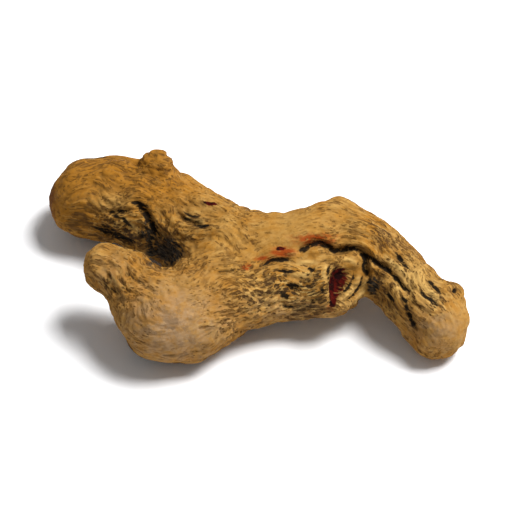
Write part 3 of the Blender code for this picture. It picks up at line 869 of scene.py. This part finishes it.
def fibrous_colour(nodes, colour, breaks):
    """The skin with bright fibres: scattered where it is rough, and the pale strands one by one."""
    bright = nodes.times(nodes.strands(**BRIGHT_FIBRES), nodes.attribute("rough"))
    bright = nodes.larger(bright, nodes.times(nodes.attribute("pale"), breaks))
    return nodes.mix(nodes.times(bright, FIBRE_SHARE), colour, OCHRE_BRIGHT)


def bareness(nodes, rubbed):
    """How free of marks the skin is: rubbed and light places, the pale fibres, and fields of its own."""
    bare = nodes.plus(rubbed, nodes.patches(**BARE_FIELDS))
    bare = nodes.minus(bare, nodes.times(nodes.attribute("rough"), ROUGH_LOSS))
    return nodes.plus(bare, nodes.larger(nodes.attribute("pale"), nodes.attribute("light")))


def mark_and_shade_share(nodes, bare):
    """How dark each place is: frayed dashes as dark marks, and painted shade in wrinkles, deep furrows and
    pits.
    """
    strength = nodes.ramp(nodes.attribute("rough"), **ROUGH_ON_MARKS)
    large = nodes.times(nodes.marks(**LARGE_MARKS, bare=bare), strength)
    small = nodes.times(nodes.marks(**SMALL_MARKS, bare=bare), SMALL_MARK_SHARE)
    marks = nodes.times(nodes.larger(large, small), nodes.strands(**FRAYS))
    marks = nodes.times(marks, nodes.ramp(nodes.attribute("worn"), **WORN_ON_MARKS))
    # Painted shade in wrinkles, in dents below the plain form and in pits.
    marks = nodes.larger(marks, nodes.times(nodes.attribute("line"), WRINKLE_SHADE_SHARE))
    marks = nodes.larger(marks, nodes.ramp(nodes.attribute("height"), **DENT_SHADE_ON_MARKS))
    return nodes.larger(marks, nodes.ramp(nodes.attribute("pit"), **PIT_SHADE_ON_MARKS))


def marked_and_shaded_colour(nodes, colour, marks):
    """The skin with raw orange places, and over all dark marks and painted shade in wrinkles, furrows and
    pits.
    """
    raw = nodes.times(nodes.attribute("raw"), nodes.strands(**RAW_FIBRES))
    colour = nodes.mix(nodes.ramp(raw, **RAW_SHOWS), colour, RAW_ORANGE)
    return nodes.mix(marks, colour, nodes.mix(nodes.attribute("rough"), MARK_AND_SHADE_BROWN, MARK_AND_SHADE_DARK))


def torn_and_shaded_colour(nodes, colour, breaks):
    """The skin with painted shade in its clefts, painted black shade in its cracks, and dark red flesh in the
    torn hole.
    """
    cleft_shade_colour = nodes.mix(nodes.strands(**CLEFT_SHADE_FIBRES), CRACK_SHADE_BLACK, CLEFT_SHADE_GREY)
    cleft_shade = nodes.times(nodes.attribute("dark"), breaks)
    colour = nodes.mix(nodes.ramp(cleft_shade, **CLEFT_SHADE_SHOWS), colour, cleft_shade_colour)
    crack_shade = nodes.times(nodes.attribute("crack"), breaks)
    colour = nodes.mix(nodes.ramp(crack_shade, **CRACK_SHADE_SHOWS), colour, CRACK_SHADE_BLACK)
    flesh = nodes.mix(nodes.patches(**RED_FIELDS), SCAR_DARK, SCAR_RED)
    red = nodes.times(nodes.larger(nodes.attribute("scar"), nodes.attribute("red")), breaks)
    return nodes.mix(nodes.ramp(red, **RED_SHOWS), colour, flesh)


def roughen(nodes, marks, bare, fibrous):
    """Gives the shading a fine grain along the flesh, with the marks sunk in it."""
    bump = nodes.add("ShaderNodeBump")
    bump.inputs["Distance"].default_value = BUMP_HEIGHT
    bump.inputs["Strength"].default_value = BUMP_STRENGTH
    strength = nodes.times(nodes.ramp(bare, **BARE_ON_GRAIN), fibrous)
    grain = nodes.plus(nodes.times(nodes.fibres(**BUMP_FIBRES), strength), nodes.noise(**BUMP_GRAIN))
    nodes.join(nodes.minus(nodes.times(grain, BUMP_GRAIN_SHARE), marks), bump.inputs["Height"])
    nodes.join(bump.outputs["Normal"], nodes.shader.inputs["Normal"])


def skin_material():
    """Dry ochre skin: mottled, painted shade in dents, cracks and clefts, pale where rubbed, orange where
    raw, dark red where torn.
    """
    nodes = Nodes("turmeric_skin")
    mottle = nodes.patches(**MOTTLE)
    fibrous = nodes.ramp(nodes.attribute("golden"), **GOLDEN_ON_FIBRES)
    rubbed = nodes.times(nodes.plus(nodes.attribute("worn"), nodes.attribute("grey")), RUBBED_SHARE)
    bare = bareness(nodes, rubbed)
    breaks = nodes.strands(**BREAKS)
    # marks holds the dark marks and the painted shade in wrinkles, dents and pits.
    marks = mark_and_shade_share(nodes, bare)
    colour = ground_colour(nodes, mottle)
    colour = dusty_colour(nodes, colour, rubbed, fibrous)
    colour = fibrous_colour(nodes, colour, breaks)
    colour = marked_and_shaded_colour(nodes, colour, marks)
    colour = torn_and_shaded_colour(nodes, colour, breaks)
    nodes.join(colour, nodes.shader.inputs["Base Color"])
    nodes.join(nodes.ramp(mottle, **MOTTLE_ON_ROUGHNESS), nodes.shader.inputs["Roughness"])
    nodes.shader.inputs["Specular IOR Level"].default_value = SPECULAR
    roughen(nodes, marks, bare, fibrous)
    return nodes.material


def floor():
    """A plain pale floor just under the root."""
    mesh = bpy.data.meshes.new("floor")
    sides = ((-1, -1), (1, -1), (1, 1), (-1, 1))
    corners = [(x * FLOOR_HALF_WIDTH, y * FLOOR_HALF_WIDTH, -FLOOR_DROP) for x, y in sides]
    mesh.from_pydata(corners, [], [(0, 1, 2, 3)])
    nodes = Nodes("floor_white")
    nodes.put(FLOOR_WHITE, nodes.shader.inputs["Base Color"])
    nodes.put(FLOOR_ROUGHNESS, nodes.shader.inputs["Roughness"])
    mesh.materials.append(nodes.material)
    ground = bpy.data.objects.new("floor", mesh)
    bpy.context.scene.collection.objects.link(ground)


def sky():
    """An even white light from all round, with colours shown as they are."""
    world = bpy.data.worlds.new("studio")
    world.use_nodes = True
    back = world.node_tree.nodes["Background"]
    back.inputs["Color"].default_value = (*WHITE, 1)
    back.inputs["Strength"].default_value = SKY_STRENGTH
    bpy.context.scene.world = world
    bpy.context.scene.view_settings.view_transform = "Standard"


def lamp():
    """A square lamp that faces the root from above, to the right and slightly behind."""
    data = bpy.data.lights.new("key", "AREA")
    data.size = LAMP_SIZE
    data.energy = LAMP_POWER
    obj = bpy.data.objects.new("key", data)
    obj.location = LAMP_DIRECTION.normalized() * LAMP_DISTANCE
    obj.rotation_euler = LAMP_DIRECTION.to_track_quat("Z", "Y").to_euler()
    bpy.context.scene.collection.objects.link(obj)


def camera():
    """The camera, at the picture's viewing angle."""
    data = bpy.data.cameras.new("camera")
    data.angle = 2 * atan(PICTURE_WIDTH / 2 / CAMERA_DISTANCE)
    data.clip_start = NEAR_CLIP
    obj = bpy.data.objects.new("camera", data)
    back = Vector(VIEW_BACK)
    obj.location = CAMERA_TARGET + back * CAMERA_DISTANCE
    obj.rotation_euler = back.to_track_quat("Z", "Y").to_euler()
    bpy.context.scene.collection.objects.link(obj)
    bpy.context.scene.camera = obj


camera()
skin = make_skin()
skin.data.materials.clear()
skin.data.materials.append(skin_material())
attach(skin, "root")
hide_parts("turmeric_root")
floor()
sky()
lamp()
